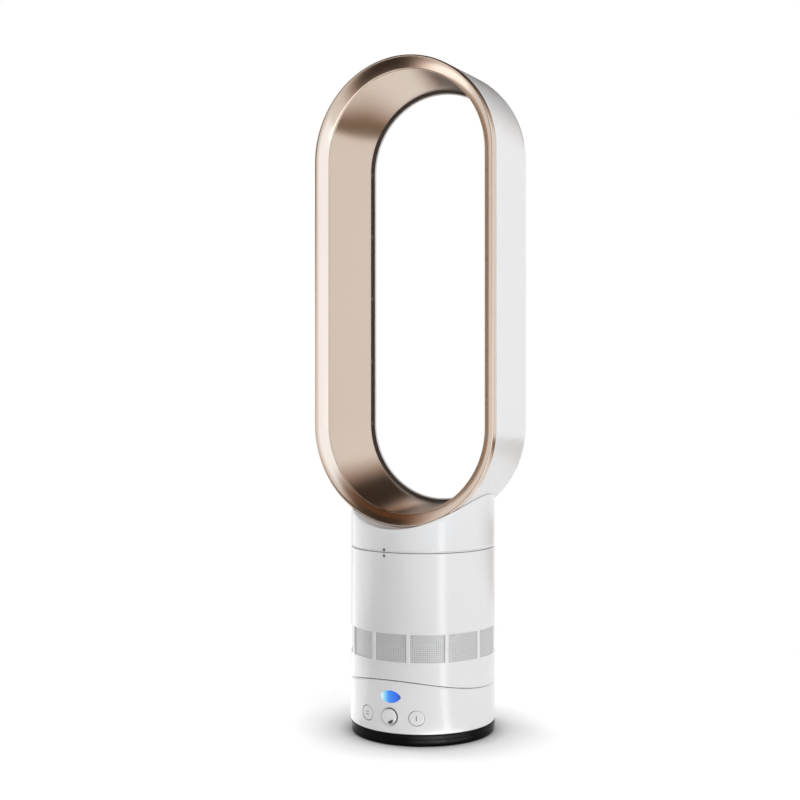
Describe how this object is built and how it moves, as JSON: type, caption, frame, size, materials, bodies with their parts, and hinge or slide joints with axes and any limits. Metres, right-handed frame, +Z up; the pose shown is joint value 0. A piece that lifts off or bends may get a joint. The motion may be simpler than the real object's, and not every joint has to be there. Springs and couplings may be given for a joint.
{
  "type": "bladeless tower fan",
  "caption": "Slim tower fan with a tall oval air loop over a round column, knob and push buttons on its base, on a flat black foot.",
  "frame": {"origin": "middle of the fan's footprint, on the plane it stands on", "axes": "+Z up, -Y out of the front of the fan, +X to the right seen from the front"},
  "size_m": [0.2436, 0.186, 0.8295],
  "materials": {
    "white_gloss": "glossy white moulding",
    "rose_plating": "satin rose-champagne plating on a moulded ring",
    "black_gloss": "glossy black moulding",
    "rubber": "matt black rubber",
    "steel": "pressed and turned steel",
    "acetal": "natural acetal",
    "grey_plastic": "satin grey moulding",
    "dark_plastic": "satin dark moulding",
    "circuit": "green glass-fibre board with its parts",
    "blue_lens": "blue tinted display window",
    "grille_metal": "fine perforated sheet, painted light grey"
  },
  "bodies": {
    "foot": {"foot_base": "black_gloss", "pivot_post": "steel", "rubber_pad": "rubber", "ballast_ring": "steel", "slide_ring": "acetal", "sun_gear": "acetal", "retaining_clip": "steel", "cord_gland": "rubber"},
    "control_base": {"control_housing": "white_gloss", "swivel_plate": "grey_plastic", "control_board": "circuit", "display_lens": "blue_lens", "display_light": "acetal", "knob_encoder": "dark_plastic", "swing_switch": "dark_plastic", "power_switch": "dark_plastic", "swivel_motor": "steel"},
    "knob": {"knob": "white_gloss"},
    "swing_button": {"swing_button": "white_gloss"},
    "power_button": {"power_button": "white_gloss"},
    "swivel_pinion": {"swivel_pinion": "acetal"},
    "body": {"body_shell": "white_gloss", "intake_grille": "grille_metal", "rocker_plate": "grey_plastic", "runner_left": "acetal", "runner_right": "acetal", "drive_board": "circuit", "impeller_shroud": "grey_plastic", "rubber_mount": "rubber", "diffuser": "grey_plastic", "motor_bucket": "dark_plastic", "bucket_cap": "dark_plastic", "motor": "steel", "motor_sleeve": "rubber", "air_seal": "rubber", "bayonet_socket": "grey_plastic"},
    "impeller": {"impeller": "dark_plastic", "rotor_shaft": "steel"},
    "loop": {"loop_collar": "white_gloss", "flow_guide": "white_gloss", "rear_shell": "white_gloss", "front_bezel": "rose_plating", "inner_wall": "rose_plating"}
  },
  "joints": [
    {"name": "swivel", "type": "hinge", "parent": "foot", "child": "control_base", "pos_m": [0, 0, 0.0187], "axis": [0, 0, 1], "range_deg": [-40, 40]},
    {"name": "tilt", "type": "hinge", "parent": "control_base", "child": "body", "pos_m": [0, 0, 0.346], "axis": [1, 0, 0], "range_deg": [-5.5, 5.5]},
    {"name": "twist_lock", "type": "hinge", "parent": "body", "child": "loop", "pos_m": [0, 0, 0.2298], "axis": [0, 0, 1], "range_deg": [0, 15]},
    {"name": "impeller_spin", "type": "hinge", "parent": "body", "child": "impeller", "pos_m": [0, 0, 0.155], "axis": [0, 0, 1], "continuous": true},
    {"name": "knob_turn", "type": "hinge", "parent": "control_base", "child": "knob", "pos_m": [0, -0.09, 0.0341], "axis": [0, -1, 0], "range_deg": [0, 300]},
    {"name": "swing_press", "type": "slide", "parent": "control_base", "child": "swing_button", "axis": [0, 1, 0], "range_m": [0, 0.001], "stiffness_N_per_m": 1000, "springref_m": -0.0005},
    {"name": "power_press", "type": "slide", "parent": "control_base", "child": "power_button", "axis": [0, 1, 0], "range_m": [0, 0.001], "stiffness_N_per_m": 1000, "springref_m": -0.0005},
    {"name": "pinion_turn", "type": "hinge", "parent": "control_base", "child": "swivel_pinion", "pos_m": [0, 0.03615, 0.012], "axis": [0, 0, 1], "range_deg": [-121, 121]}
  ],
  "couplings": [
    {"joint": "pinion_turn", "follows": "swivel", "ratio": 3}
  ]
}
